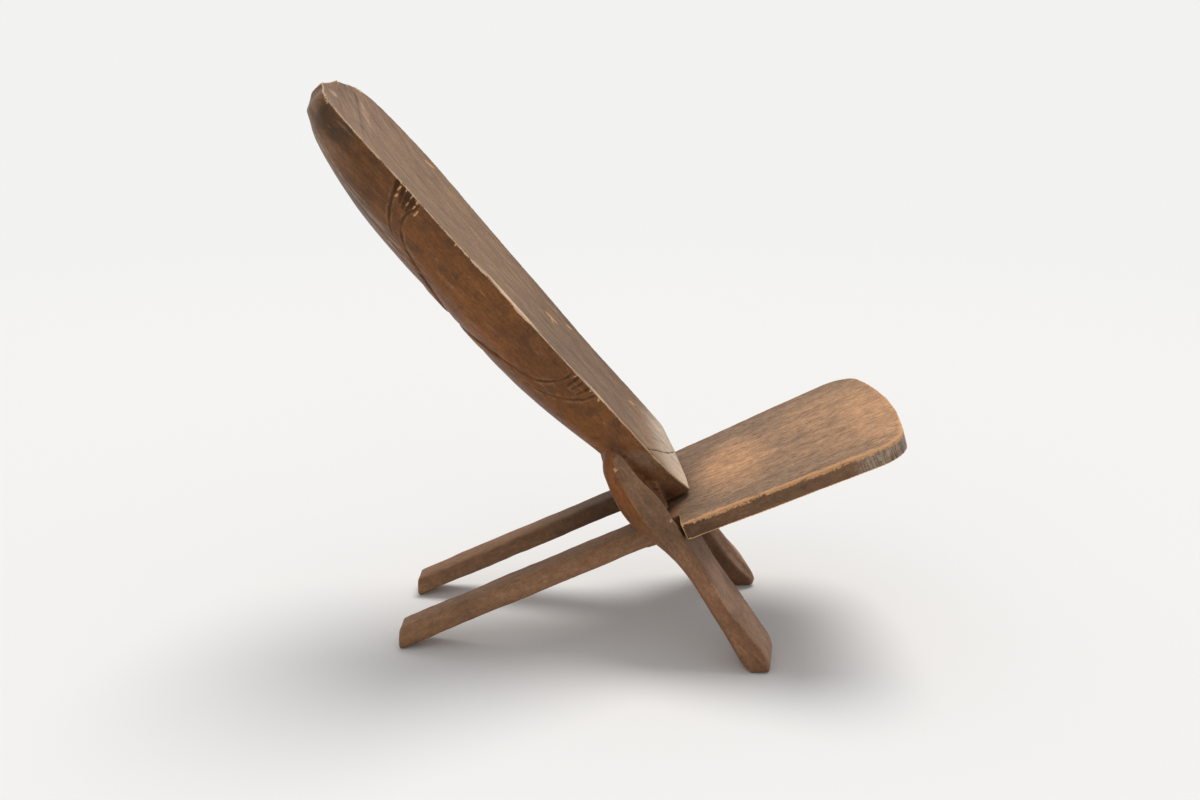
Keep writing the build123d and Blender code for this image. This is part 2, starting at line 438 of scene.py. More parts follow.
# Chips beside the toes: way round, distance down, and half their length each way.
TOE_CHIPS = [
    (8, 148.5, 4.5, 1.6), (17, 152.6, 3, 1.8), (4, 167, 3.5, 1.3), (14, 169.3, 3.5, 1.4), (10.5, 178, 3, 1.5),
    (3, 176.5, 3, 2.0), (14, 185.5, 3.5, 1.5), (2, 156.5, 3, 1.2), (4, 475, 4, 1.0),
    (3, 504, 3, 1.2), (3, 520, 3, 2.5), (2, 246, 3, 3),
]
# Points on the right front leg, in metres.
LIMB_CHIP = np.array([0.0052, -0.1165, 0.2648])
LIMB_SCUFF = np.array([0.0794, -0.1437, 0.2038])
FACE_END = (735, 715)  # the face's share grows from 0 to 1 between these distances down
HULL_FOOT_MM = 285  # the hull, the rounded rear and sides, lies above this height


def animal_distance(down, way, whole):
    """Signed distance to the lizard's outline, negative inside it: the least of its limbs'
    bands and of its spine's spindle, whose half width is read along the back."""
    limbs = least_distance(way, down, (FORE_LIMB, HIND_LIMB))
    [half] = read_table(SPINE, down)
    ends = np.maximum(SPINE[0, 0] - down, down - SPINE[-1, 0])
    from_middle = whole - way
    trunk = np.maximum(from_middle - half, ends)
    return np.minimum(limbs, trunk)


def least_distance(across, along, lines):
    return np.minimum.reduce([line_distance(across, along, rows) for rows in lines])


def back_fields(points, normals):
    """All that the back's cuts and colours are worked out from, for each vertex."""
    down, deep, side = back_coordinates(points)
    way, whole = round_the_rear(down, deep, side)
    facing = normals @ FACE_OUT
    height = points[:, 2] * MM
    on_face = ramp(facing, 0.45, 0.8) * ramp(deep, 14, 6) * ramp(down, *FACE_END)
    on_hull = (1 - on_face) * ramp(down, -20, 5) * (height > HULL_FOOT_MM)
    toes = least_distance(way, down, FORE_TOES + HIND_TOES)
    return SimpleNamespace(
        down=down, deep=deep, side=side, way=way, height=height, on_face=on_face, on_hull=on_hull,
        animal=np.where(on_hull > 0.5, animal_distance(down, way, whole), FAR_MM),
        toes=np.where(on_hull > 0.5, toes, FAR_MM),
        crack=np.where(facing > 0.4, line_distance(side, down, CRACK), FAR_MM),
    )


def back_cuts(points, fields):
    """How deep each vertex is cut in, in millimetres. Grooves are V-shaped, the ground
    beside the lizard is lowered and fades out, and slow ripples make the tool's waves."""
    animal, toes, way = fields.animal, fields.toes, fields.way
    rear = ramp(way, 48, 75)
    uneven = 1 + 0.35 * ripple(points, 0.03, 7)
    groove = 1.1 * uneven * np.clip(1 - np.abs(animal) / 3.0, 0, 1)
    ground = 2.4 * ramp(animal, -3, 3) * np.exp(-np.clip(animal, 0, None) / 16) * rear
    toe_cuts = 2.8 * ramp(toes, 1.2, -2.0) * ramp(way, 26, 16)
    crack = 1.2 * np.clip(1 - fields.crack / 1.8, 0, 1)
    waves = 0.25 * (1 + ripple(points, 0.13, 3)) + 0.08 * (1 + ripple(points, 0.035, 4))
    return groove + ground + toe_cuts + crack + waves


def strokes(fields, rows_list, softness):
    """Share of a set of strokes on the face: each fades over softness beside its band."""
    shares = [
        strength * ramp(line_distance(fields.side, fields.down, rows), softness, -0.5)
        for strength, rows in rows_list
    ]
    return np.maximum.reduce(shares) * fields.on_face


def back_wear(points, fields):
    """Width in millimetres of the rubbed band beside the sharp edges: widest along the
    edges of the face, with some broad places, and little on the legs."""
    face_edge = ramp(np.abs(fields.deep), 14, 9) * ramp(fields.down, 740, 715)
    face_edge *= fields.height > 225
    broad = ramp(ripple(points, 0.16, 5) + ripple(points, 0.05, 6), 0.4, 2.0)
    return face_edge * (2.5 + 1.6 * broad) + (1 - face_edge) * 0.7 * ramp(fields.height, 255, 235)


def back_rubbed(points, fields):
    """Share of streaky rubbing: two strips beside the face's right edge, one above the other,
    and the pale strokes."""
    strip = hump(fields.side, -118, 9) * hump(fields.down, 345, 60)
    low = hump(fields.side, -104, 7) * ramp(fields.down, 440, 520) * 0.7
    return np.maximum(np.maximum(strip, low) * fields.on_face, strokes(fields, PALE_STROKES, 7.0))


def back_chips(points, fields):
    """Fresh chips: short bands on the face, ellipses beside the toes, one on the limb and one
    at the top of the right edge."""
    down, side, way = fields.down, fields.side, fields.way
    chips = [fields.on_face * ramp(line_distance(side, down, rows), 1.0, -0.5) for rows in FACE_CHIPS]
    chips += [
        fields.on_hull * ramp(np.hypot((way - x) / long, (down - y) / half), 1.3, 0.6) * (side < 0)
        for x, y, long, half in TOE_CHIPS
    ]
    chips.append(ramp(np.linalg.norm(points - LIMB_CHIP, axis=1) * MM, 4, 2))
    top_chip = ramp(np.hypot((down - 13) / 5, (way - 4) / 3), 1.2, 0.6) * (side < 0)
    chips.append(top_chip * fields.on_hull)
    return np.maximum.reduce(chips)


def back_flow(fields):
    """Where each vertex lies in the plank's grain, in metres: along, across and deep. On
    the face the fibres run more and more askew towards the top, with 1.05 across for each 1
    down at the very top, and they swing outwards a little round the crossing."""
    down, side = fields.down, fields.side
    near_top = np.clip((190 - down) / 190, 0, 1)
    askew = -100 * near_top ** 2 * fields.on_face
    swing = 0.10 * np.clip(down - 560, 0, None) * np.sign(side)
    return np.stack([down, side + askew - swing, fields.deep], axis=1) / MM


def face_colours(points, fields):
    """Bleached grey-brown: rosier towards the top, darker in the middle, pale at the tongue."""
    down = fields.down
    return coated(
        GREY_BROWN,
        (ROSY_GREY, ramp(down, 170, 20) * 0.8),
        (DEEP_BROWN, 0.30 * ramp(down, 280, 460) * ramp(down, 620, 560)),
        (LIMB_BROWN, 0.25 * ramp(ripple(points, 0.12, 11), 0.1, 1.2)),
        (PALE_GREY, ramp(down + 0.20 * fields.side, 612, 692)),
    )


def hull_colours(points, fields):
    """Waxed brown: orange towards the rear, stained and sooty near the top, paler at both ends, with a
    painted sheen high on the rounded side.
    """
    down, deep = fields.down, fields.deep
    stain = 1.7 * hump(down, 44, 34) * hump(deep, 16, 17) + 0.35 * ripple(points, 0.03, 13)
    cloudy = ripple(points, 0.12, 11) + ripple(points, 0.05, 12)
    return coated(
        WAXED_BROWN,
        (ORANGE_BROWN, 0.55 * ramp(deep, 38, 70) * ramp(down, 150, 260)),
        (DEEP_BROWN, 0.38 * ramp(down, 330, 130)),
        (STAIN, 0.74 * ramp(stain, 0.1, 1.4) * ramp(down, 190, 110)),
        (GREY_BROWN, 0.40 * ramp(down, 22, 4)),
        # painted sheen: a paler, greyer patch where the rounded side catches a reflection
        (GREY_BROWN, 0.40 * hump(down, 56, 34) * hump(deep, 38, 10)),
        (DEEP_BROWN, 0.30 * hump(down, 630, 40) + 0.27 * hump(down, 455, 60)),
        (LIMB_BROWN, 0.70 * ramp(down, 630, 680)),
        (DEEP_BROWN, 0.35 * ramp(cloudy, 0.2, 1.8)),
        (STAIN, 0.40 * ramp(ripple(points, 0.026, 14), 0.3, 1.6) * fields.on_hull),
    )


def front_leg_colours(points, normals, height):
    """Brown, redder lower down, with painted light on the upper facets that face forward and up, and painted
    shade on the inner sides and in a band where the seat passes.
    """
    left_leg = ramp(points[:, 1] * MM, 60, 80)
    lit_upper_facet = ramp(normals[:, 0], 0.25, 0.5) * ramp(height, 152 + 38 * left_leg, 114 + 36 * left_leg)
    shaded_inner_side = ramp(normals[:, 1] * -np.sign(points[:, 1]), 0.5, 0.8) * ramp(height, 230, 190)
    return coated(
        LIMB_BROWN,
        (ORANGE_BROWN, ramp(-normals[:, 0], 0.15, 0.6) * ramp(height, 140, 215)),
        (RED_BROWN, ramp(height, 230, 90)),
        # painted shade: a darker band where the seat passes between the legs
        (DEEP_BROWN, 0.30 * hump(height, 196, 28)),
        # painted light on the upper facets that face forward and up
        (LIT_FACET_PINK, (0.85 + 0.15 * left_leg) * lit_upper_facet),
        # painted shade on the inner sides under the seat
        (DEEP_BROWN, 0.5 * shaded_inner_side),
        (DEEP_BROWN, 0.22 * ramp(ripple(points, 0.05, 12), 0.2, 1.4)),
    )


def back_colours(points, normals, fields):
    """Patina of the hull, the front legs and the face, with painted light and shade, each faded into the
    next.
    """
    height, on_face = fields.height, fields.on_face[:, None]
    on_leg = ramp(np.abs(points[:, 1]) * MM, 93, 99) * ramp(height, 290, 280)
    on_leg = np.maximum(on_leg, ramp(height, 205, 190))[:, None]
    colours = hull_colours(points, fields) * (1 - on_leg)
    colours += front_leg_colours(points, normals, height) * on_leg
    return colours * (1 - on_face) + face_colours(points, fields) * on_face


def back_scuffs(points, fields):
    """Share of dry scuffs: a streaky band on the hull's upper part, and one on the leg, which
    is over 1 so that the streaks leave it whole."""
    band = fields.on_hull * hump(fields.way, 77, 16)
    band *= ramp(fields.down, 10, 40) * ramp(fields.down, 280, 200)
    on_leg = ramp(np.linalg.norm(points - LIMB_SCUFF, axis=1) * MM, 5, 1.5)
    return np.maximum(band, 2 * on_leg)


def back_fresh(points, fields):
    """Colour of the wood where it is rubbed bare, and of the painted highlight on the arrises: pale above,
    orange lower down.
    """
    orange = ramp(fields.down + 30 * ripple(points, 0.07, 9), 500, 580)
    return coated(PALE_WORN_AND_HIGHLIGHT, (CHIP_WOOD, 0.95 * orange * (1 - 0.45 * fields.on_face)))


# The left half of the top's rim: side, lift, and distance down.
RIM = np.array([
    (-14, 0, -11.5), (-8, 1.0, -11), (-2, 3.5, -10.3), (8, 4.6, -9), (24, 4.6, -5.5), (35, 4.4, -3.7),
    (50, 3.4, -1.2), (62, 2.8, 1.5), (71, 5.0, 3.5), (80, 5.4, 5.5), (90, 4.2, 11), (100, 2.8, 19),
    (115, 0, 32),
])


def shape_top(skin):
    """Lifts the left half of the top's rim up the face, by the lift that the side has in
    RIM and less and less away from the rim, but not past the rim. Pares the top's rear
    edge by a bell of the distance down."""
    points = read_points(skin)
    down, deep, side = back_coordinates(points)
    lift, rim = read_table(RIM, side)
    below = down - rim
    lift = np.clip(np.minimum(lift * ramp(deep, 30, 10) * ramp(below, 28, 2), below), 0, None)
    pared = 3.0 * hump(down, 8, 17) * ramp(deep, 14, 30)
    moved = FACE_DOWN * lift[:, None] + read_normals(skin) * pared[:, None]
    write_points(skin, points - moved / MM)


# The left front leg's hewn flat: height, the corner's x and y, and how far the flat reaches
# back along the leg's inner side.
LEG_FLAT = np.array([
    (0, 219.9, 113, 2), (13, 224.9, 108, 8), (24, 218.5, 106.2, 14), (44, 206.9, 103, 22),
    (61, 194.8, 100.6, 24), (93, 171.9, 96, 20), (140, 137.9, 87, 10), (168, 118.9, 82, 0),
])
FLAT_OUT = np.array([0.662, -0.662, 0.352])  # the way that the flat faces


def hew_leg(skin):
    """Takes the inner front corner off the left front leg: a point that lies in front of the
    flat's plane goes back onto it, by its distance along the plane's normal."""
    points = read_points(skin) * MM
    height = points[:, 2]
    corner_x, corner_y, reach = read_table(LEG_FLAT, height)
    proud = FLAT_OUT[0] * (points[:, 0] - corner_x + reach) + FLAT_OUT[1] * (points[:, 1] - corner_y)
    on_leg = (height < LEG_FLAT[-1, 0]) & (points[:, 1] > 70)
    points -= FLAT_OUT * (np.clip(proud, 0, None) * on_leg)[:, None]
    write_points(skin, points / MM)
    soften(skin, 0.4 * ramp(proud, -4, -1) * on_leg * ramp(reach, 0, 6), 4)


def carve_back():
    """The whole back, its front legs and window, as one carved skin."""
    skin, arrises, _, distance = even_skin("back_with_front_legs", BACK_GRID)
    shape_top(skin)
    hew_leg(skin)
    points = read_points(skin)
    height = points[:, 2] * MM
    on_leg = ramp(np.abs(points[:, 1]) * MM, 92, 100) * ramp(height, 280, 262)
    soften(skin, ramp(distance, 8, 2) * 0.3 * on_leg, 2)
    soften(skin, ramp(distance, 10, 3) * 0.5 * ramp(height, 30, 8), 10)
    fields = back_fields(read_points(skin), read_normals(skin))
    near = (np.abs(fields.animal) < 4) | (fields.toes < 4) & (fields.way < 28)
    halve_faces(skin, near | (fields.crack < 4))
    soften(skin, np.full(len(skin.vertices), 0.2), 1)
    points, normals = read_points(skin), read_normals(skin)
    fields = back_fields(points, normals)
    distance, _ = nearest_arris(points, arrises)
    write_points(skin, points - normals * back_cuts(points, fields)[:, None] / MM)
    write_layers(
        skin,
        flow=back_flow(fields),
        fresh=back_fresh(points, fields),
        patina_and_painted_light=back_colours(points, normals, fields),
        arris=distance,
        wear=back_wear(points, fields),
        rubbed=back_rubbed(points, fields),
        chip=back_chips(points, fields),
        end_grain=0,
        carving=np.minimum(np.abs(fields.animal), fields.toes),
        crack=fields.crack,
        stroke=strokes(fields, DARK_STROKES, 2.2),
        scuff=back_scuffs(points, fields),
        wax=fields.on_hull,
        fibre=np.where(fields.height < 290, LEG_FIBRE, 0.72 - 0.32 * fields.on_hull),
    )
    return finish_piece(skin, "back_with_front_legs", "back")


# ---- the seat: worn board and rear legs ----
# Worn patches on the seat: forward, side, length, width, strength.
SEAT_PATCHES = [
    (66, -5, 66, 122, 0.58), (268, -20, 62, 150, 0.62), (210, 60, 90, 95, 0.42), (150, -60, 80, 60, 0.34),
    (215, -60, 70, 80, 0.40), (120, 40, 80, 80, 0.32), (306, 20, 30, 150, 0.60),
]
BOARD_REAR_MM = -26.0  # behind this the plank is neck and legs


def seat_rubbed(forward, side, top):
    """Share of rubbing on the board's top: the largest of the patches, each of which is
    strength times exp of minus the fourth power of the distance, in widths."""
    bells = [
        strength * np.exp(-(((forward - along) / length) ** 2 + ((side - across) / width) ** 2) ** 2)
        for along, across, length, width, strength in SEAT_PATCHES
    ]
    return np.maximum.reduce(bells) * top * ramp(forward, BOARD_REAR_MM, 0)


def seat_facing(normals):
    """Share of each vertex that faces up, as the seat's top does, and sideways."""
    facing = normals @ SEAT_UP
    return ramp(facing, 0.5, 0.85), ramp(np.abs(facing), 0.8, 0.5)


def seat_colours(points, normals):
    """Grey-brown board with darker sides, and mid-brown rear legs. Painted shade darkens the board towards
    the back and the rear legs towards the crossing, the far leg most.
    """
    forward, side, _ = seat_coordinates(points)
    top, upright = seat_facing(normals)
    board = ramp(forward, BOARD_REAR_MM - 2, BOARD_REAR_MM + 2)
    slow = ripple(points, 0.09, 21)
    front_corner = ramp(forward, 200, 240) * upright
    left_leg = ramp(side, -20, 60)
    face = coated(
        SEAT_GREY,
        (SEAT_TAN, 0.15 * ramp(forward, 40, 240)),
        # painted shade where the back overhangs the board's rear
        (DEEP_BROWN, 0.16 * ramp(forward, 60, 0)),
        (LIMB_BROWN, 0.30 * ramp(slow, 0.2, 1.3)),
    )
    sides = coated(
        SEAT_SIDE,
        (LEG_BROWN, 0.15 * ramp(forward, 120, 30) + 0.15 * ramp(slow, -0.5, 1.0)),
        # painted shade on the sides towards the back, between the front legs
        (DEEP_BROWN, 0.45 * ramp(forward, 60, -5) + 0.18 * ramp(forward, 130, 50)),
        (SEAT_GREY, 0.80 * front_corner),
        (PALE_GREY, 0.28 * front_corner),
    )
    legs = coated(
        LEG_BROWN,
        (ORANGE_BROWN, 0.4 * ramp(-(normals @ SEAT_UP), 0.3, 0.8)),
        (DEEP_BROWN, 0.25 * ramp(slow, 0.0, 1.5)),
        # painted shade: the rear legs darker towards the crossing under the back, and the far leg darker
        # throughout
        (DEEP_BROWN, 0.15 * ramp(forward, -260, -90) * (1 - left_leg)),
        (DEEP_BROWN, left_leg * (0.22 + 0.60 * ramp(forward, -300, -150))),
    )
    colours = face * top[:, None] + sides * (1 - top[:, None])
    return colours * board[:, None] + legs * (1 - board[:, None])


def carve_seat():
    """The seat board, its neck and the rear legs, as one carved skin."""
    skin, arrises, points, distance = even_skin("seat_with_rear_legs", SEAT_GRID)
    forward, side, up = seat_coordinates(points)
    rear_leg = ramp(forward, -60, -110)
    worn_edge = ramp(-side, 60, 150) * ramp(forward, -30, 0) * ramp(up, -12, -4)
    rounding = np.maximum(0.35 * rear_leg, 0.45 * worn_edge)
    soften(skin, ramp(distance, 8, 2) * rounding, 9)
    soften(skin, ramp(distance, 9, 2) * 0.4 * rear_leg, 10)
    points, normals = read_points(skin), read_normals(skin)
    waves = 0.25 * (1 + ripple(points, 0.12, 23)) + 0.08 * (1 + ripple(points, 0.032, 24))
    waves *= 1 + 0.9 * rear_leg
    write_points(skin, points - normals * waves[:, None] / MM)
    near_top = 8.0 + 5.0 * ramp(ripple(points, 0.10, 25), -0.5, 1.2) + 2.5 * ramp(forward, 120, 230)
    elsewhere = ramp(forward, -30, -20) * (1.8 + 0.5 * ramp(up, -13, -10))
    top, upright = seat_facing(normals)
    facing_front = normals @ SEAT_FORWARD
    ends = np.maximum(ramp(facing_front, 0.03, 0.3), 0.8) * ramp(forward, 195, 235) * upright
    ends = np.maximum(ends, ramp(-facing_front, 0.5, 0.9))
    write_layers(
        skin,
        flow=np.stack([2.8 * forward, 1.6 * side, 1.6 * up], axis=1) / MM,
        fresh=coated(SEAT_TAN, (WORN_WOOD, ramp(distance, 9, 4))),
        patina_and_painted_light=seat_colours(points, normals),
        arris=distance,
        wear=np.maximum(near_top * worn_edge, elsewhere) + 0.1,
        rubbed=seat_rubbed(forward, side, top),
        end_grain=ends * (1 - top),
        fibre=np.where(forward > BOARD_REAR_MM, 0.45 + 0.55 * top, LEG_FIBRE),
        wax=0.3 * (1 - top),
        carving=FAR_MM,
        crack=FAR_MM,
        chip=0,
        stroke=0,
        scuff=0,
    )
    return finish_piece(skin, "seat_with_rear_legs", "seat")


# ---- shader helpers ----
class Board:
    """A node tree being wired: makes nodes, sets their inputs and links them."""

    def __init__(self, tree):
        self.tree = tree

    def feed(self, socket, value):
        """Links an output to an input socket, or sets the socket to a plain value."""
        if isinstance(value, bpy.types.NodeSocket):
            self.tree.links.new(value, socket)
        else:
            socket.default_value = value

    def node(self, kind, inputs=None, **settings):
        made = self.tree.nodes.new(kind)
        for name, value in settings.items():
            setattr(made, name, value)
        for name, value in (inputs or {}).items():
            self.feed(made.inputs[name], value)
        return made

    def math(self, operation, *values):
        return self.node("ShaderNodeMath", dict(enumerate(values)), operation=operation).outputs[0]

    def times(self, one, other, plus=None):
        """One times other, plus a third value where there is one."""
        if plus is None:
            return self.math("MULTIPLY", one, other)
        return self.math("MULTIPLY_ADD", one, other, plus)

    def vector_math(self, operation, inputs):
        return self.node("ShaderNodeVectorMath", inputs, operation=operation).outputs

    def ramp(self, value, low, high, start=0.0, end=1.0):
        """Smooth step of a value from start at low to end at high."""
        inputs = {"Value": value, "From Min": low, "From Max": high, "To Min": start, "To Max": end}
        made = self.node("ShaderNodeMapRange", inputs, interpolation_type="SMOOTHSTEP")
        return made.outputs["Result"]

    def noise(self, vector, scale, detail, roughness=0.55):
        inputs = {"Vector": vector, "Scale": scale, "Detail": detail, "Roughness": roughness}
        return self.node("ShaderNodeTexNoise", inputs).outputs["Fac"]

    def stretched(self, vector, scale, place=(0, 0, 0)):
        """A vector scaled along each axis and moved to a place."""
        inputs = {"Vector": vector, "Scale": scale, "Location": place}
        return self.node("ShaderNodeMapping", inputs).outputs[0]

    def mix(self, share, colour, other):
        """A colour moved by a share towards another, which is an output or a linear colour."""
        if isinstance(other, np.ndarray):
            other = (*other.tolist(), 1.0)
        return self.node("ShaderNodeMix", {0: share, 6: colour, 7: other}, data_type="RGBA").outputs[2]

    def layer(self, name, output="Fac"):
        """What write_layers stored: Fac gives a number, Vector a vector and Color a colour."""
        return self.node("ShaderNodeAttribute", attribute_name=name).outputs[output]


def cleared_board(owner):
    """The emptied node tree of a material or a world, ready to be wired."""
    owner.use_nodes = True
    owner.node_tree.nodes.clear()
    return Board(owner.node_tree)


def new_group(name, numbers, masks):
    """An empty shader group that takes a Vector and numbers, given as {name: default}, and
    puts out masks. Gives the group, its board, and what comes in and goes out."""
    group = bpy.data.node_groups.new(name, "ShaderNodeTree")
    group.interface.new_socket("Vector", in_out="INPUT", socket_type="NodeSocketVector")
    for socket, default in numbers.items():
        made = group.interface.new_socket(socket, in_out="INPUT", socket_type="NodeSocketFloat")
        made.default_value = default
    for socket in masks:
        group.interface.new_socket(socket, in_out="OUTPUT", socket_type="NodeSocketFloat")
    board = Board(group)
    return group, board, board.node("NodeGroupInput").outputs, board.node("NodeGroupOutput").inputs


# The grain's layers, each a noise and the mask made of it: scale along, across and through the
# plank, seed, detail and roughness, and the two values between which the mask rises.
GRAIN_LAYERS = {
    "Figure": ((2.5, 26.0, 26.0), 3.1, 3.0, 0.6, 0.3, 0.7),  # broad bands
    "Streaks": ((9.0, 250.0, 250.0), 7.7, 5.0, 0.7, 0.46, 0.66),  # dark lines
    "Dashes": ((30.0, 430.0, 430.0), 5.3, 2.0, 0.5, 0.57, 0.66),  # short open pores
    "Ends": ((160.0, 160.0, 14.0), 9.2, 4.0, 0.65, 0.45, 0.62),  # end grain
    "Mottle": ((26.0, 60.0, 60.0), 4.4, 5.0, 0.75, 0.25, 0.75),  # cloudy patches
    "Speckle": ((200.0, 320.0, 320.0), 2.6, 3.0, 0.6, 0.3, 0.7),  # fine grime
}
FINE_FIBRES = ((24.0, 900.0, 900.0), 1.9, 2.0, 0.5)


def grain_group():
    """Wood grain: noise stretched along X, on a vector that wavers across the plank. Each
    layer gives its mask, and Height is the relief for a bump."""
    group, board, given, result = new_group("wood grain", {}, [*GRAIN_LAYERS, "Height"])
    waver = board.times(board.noise(given["Vector"], 7.0, 2.0), 0.016)
    shift = board.node("ShaderNodeCombineXYZ", {"Y": waver, "Z": waver}).outputs[0]
    bent = board.vector_math("ADD", {0: given["Vector"], 1: shift})[0]

    def fibrous(scale, seed, detail, roughness):
        place = (seed, seed * 0.7, seed * 1.3)
        return board.noise(board.stretched(bent, scale, place), 1.0, detail, roughness)

    noises = {name: fibrous(*layer[:4]) for name, layer in GRAIN_LAYERS.items()}
    masks = {name: board.ramp(noises[name], *layer[4:]) for name, layer in GRAIN_LAYERS.items()}
    height = board.times(fibrous(*FINE_FIBRES), 0.8, board.times(masks["Streaks"], -0.6))
    height = board.times(masks["Dashes"], -0.7, height)
    height = board.times(noises["Speckle"], 1.2, height)
    for name, value in (*masks.items(), ("Height", height)):
        board.feed(result[name], value)
    return group


def worn_edge_and_highlight_group():
    """Mask of rubbed edges: a thin light line on the arris, partly worn wood and partly painted highlight,
    and a ragged, streaky band beside it.
    """
    numbers = {"Distance": FAR_MM, "Width": 2.0}
    group, board, given, result = new_group("worn edge", numbers, ["Mask"])
    distance, width = given["Distance"], given["Width"]
    here = board.stretched(given["Vector"], (0.35, 1.0, 1.0))
    coarse = board.noise(here, 60.0, 3.0, 0.6)
    fine = board.noise(here, 330.0, 4.0, 0.7)
    ragged = board.times(fine, 2.0, board.ramp(coarse, 0.3, 0.7, -0.65, 0.05))
    share = board.math("DIVIDE", distance, board.times(width, ragged))
    band = board.times(board.ramp(share, 1.1, 0.5), board.ramp(fine, 0.38, 0.55, 0.45, 0.85))
    band = board.times(band, board.ramp(width, 0.3, 1.0))
    # the thin line on the arris: worn wood and a painted highlight
    line = board.times(board.ramp(distance, 2.0, 0.8), board.ramp(width, 0.4, 1.5))
    line = board.times(line, board.ramp(coarse, 0.32, 0.5, 0.65, 1.0))
    board.feed(result["Mask"], board.math("MAXIMUM", line, band))
    return group


def rubbed_group():
    """Streaky patches: the share is moved up and down by long fibres, then made crisper."""
    group, board, given, result = new_group("rubbed patch", {"Share": 0.0}, ["Mask"])
    fibre = board.noise(board.stretched(given["Vector"], (16.0, 130.0, 130.0)), 1.0, 6.0, 0.75)
    moved = board.times(fibre, 1.6, board.math("ADD", given["Share"], -0.8))
    board.feed(result["Mask"], board.ramp(moved, 0.08, 0.85))
    return group


def groove_group():
    """Dirt in a cut line, uneven in width and darkness, and Rim, the rubbed ridge beside it."""
    numbers = {"Distance": FAR_MM, "Width": 1.5}
    group, board, given, result = new_group("groove dirt", numbers, ["Mask", "Rim"])
    cloud = board.noise(given["Vector"], 60.0, 3.0, 0.6)
    width = board.times(given["Width"], board.ramp(cloud, 0.3, 0.7, 0.6, 1.4))
    share = board.math("DIVIDE", given["Distance"], width)
    depth = board.times(board.ramp(share, 1.0, 0.1), board.ramp(cloud, 0.3, 0.6, 0.6, 1.0))
    board.feed(result["Mask"], depth)
    rim = board.times(board.ramp(share, 0.9, 1.3), board.ramp(share, 2.1, 1.5))
    board.feed(result["Rim"], board.times(rim, board.ramp(cloud, 0.42, 0.62)))
    return group


GRAIN = grain_group()
WORN_EDGE_AND_HIGHLIGHT = worn_edge_and_highlight_group()
RUBBED = rubbed_group()
GROOVE = groove_group()


def carved_wood(name):
    """Weathered hardwood: the painted colour of aged wood with its painted light and shade, darkened by
    grain, pores and dirt in the cuts, and opened to fresh wood on the arrises, with a painted highlight
    there. Waxed places are smoother."""
    material = bpy.data.materials.new(name)
    board = cleared_board(material)
    along = board.layer("flow", "Vector")

    def effect(group, **inputs):
        return board.node("ShaderNodeGroup", {"Vector": along, **inputs}, node_tree=group).outputs

    grain = effect(GRAIN)
    fresh = board.layer("fresh", "Color")
    bare = effect(RUBBED, Share=board.layer("rubbed"))["Mask"]
    colour = board.mix(bare, board.layer("patina_and_painted_light", "Color"), fresh)
    tone = board.times(board.ramp(grain["Figure"], 0.0, 1.0, 0.90, 1.10),
                       board.ramp(grain["Mottle"], 0.0, 1.0, 0.82, 1.17))
    tone = board.times(tone, board.ramp(grain["Speckle"], 0.0, 1.0, 0.88, 1.12))
    colour = board.vector_math("SCALE", {0: colour, 3: tone})[0]
    calm = board.times(board.layer("fibre"), board.ramp(bare, 0.0, 1.0, 1.0, 0.6))
    streaks = board.times(board.times(grain["Streaks"], 0.45), calm)
    colour = board.mix(streaks, colour, DEEP_BROWN)
    drawn = board.times(board.layer("stroke"), board.ramp(grain["Mottle"], 0.2, 0.6, 1.0, 0.55))
    colour = board.mix(drawn, colour, DEEP_BROWN)
    dashes = board.times(board.times(grain["Dashes"], 0.6), calm)
    colour = board.mix(dashes, colour, DEEP_BROWN * 0.6)
    ends = board.times(grain["Ends"], board.layer("end_grain"))
    colour = board.mix(board.times(ends, 0.62), colour, DIRT)

    # rubbed edges, with a painted highlight along the arris line
    worn = effect(WORN_EDGE_AND_HIGHLIGHT, Width=board.layer("wear"), Distance=board.layer("arris"))["Mask"]
    colour = board.mix(board.times(worn, 0.92), colour, fresh)
    flake = board.times(board.noise(along, 420.0, 3.0, 0.7), 1.8, -0.9)
    chipped = board.times(board.layer("chip"), board.math("ADD", flake, 1.0))
    colour = board.mix(board.ramp(chipped, 0.35, 0.65), colour, CHIP_WOOD)

    cut = effect(GROOVE, Width=2.2, Distance=board.layer("carving"))
    crack = effect(GROOVE, Width=1.4, Distance=board.layer("crack"))
    colour = board.mix(board.times(cut["Rim"], 0.09), colour, fresh)
    dirt = board.math("MAXIMUM", board.times(cut["Mask"], 0.6), crack["Mask"])
    colour = board.mix(dirt, colour, DIRT)

    rubs = board.noise(board.stretched(along, (12.0, 260.0, 260.0)), 1.0, 5.0, 0.7)
    scuffed = board.layer("scuff")
    scuff = board.times(scuffed, board.ramp(rubs, 0.50, 0.64))
    scuff = board.math("MAXIMUM", scuff, board.ramp(scuffed, 1.1, 1.8))
    colour = board.mix(board.times(scuff, 0.7), colour, SCUFF)

    rough = board.times(board.layer("wax"), -0.18, 0.62)
    relief = {"Height": grain["Height"], "Strength": 0.55, "Distance": 0.0005}
    shader = board.node("ShaderNodeBsdfPrincipled", {
        "Base Color": colour,
        "Roughness": board.times(dirt, 0.25, rough),
        "Normal": board.node("ShaderNodeBump", relief).outputs["Normal"],
        "Specular IOR Level": 0.22,
    })
    board.node("ShaderNodeOutputMaterial", {"Surface": shader.outputs["BSDF"]})
    return material


# ---- camera, floor and light ----
CAMERA_PLACE = Vector((-0.0005, -1.7533, 0.8128))
CAMERA_LENS_MM = 39.0
CAMERA_DOWN, CAMERA_TURN, CAMERA_ROLL = (math.radians(angle) for angle in (15.432, 0.513, 0.289))
DAYLIGHT = (1.0, 0.98, 0.95)
PALE_ROOM = (0.89, 0.89, 0.885, 1)  # the floor's far rim and what is behind it, as the eye sees them


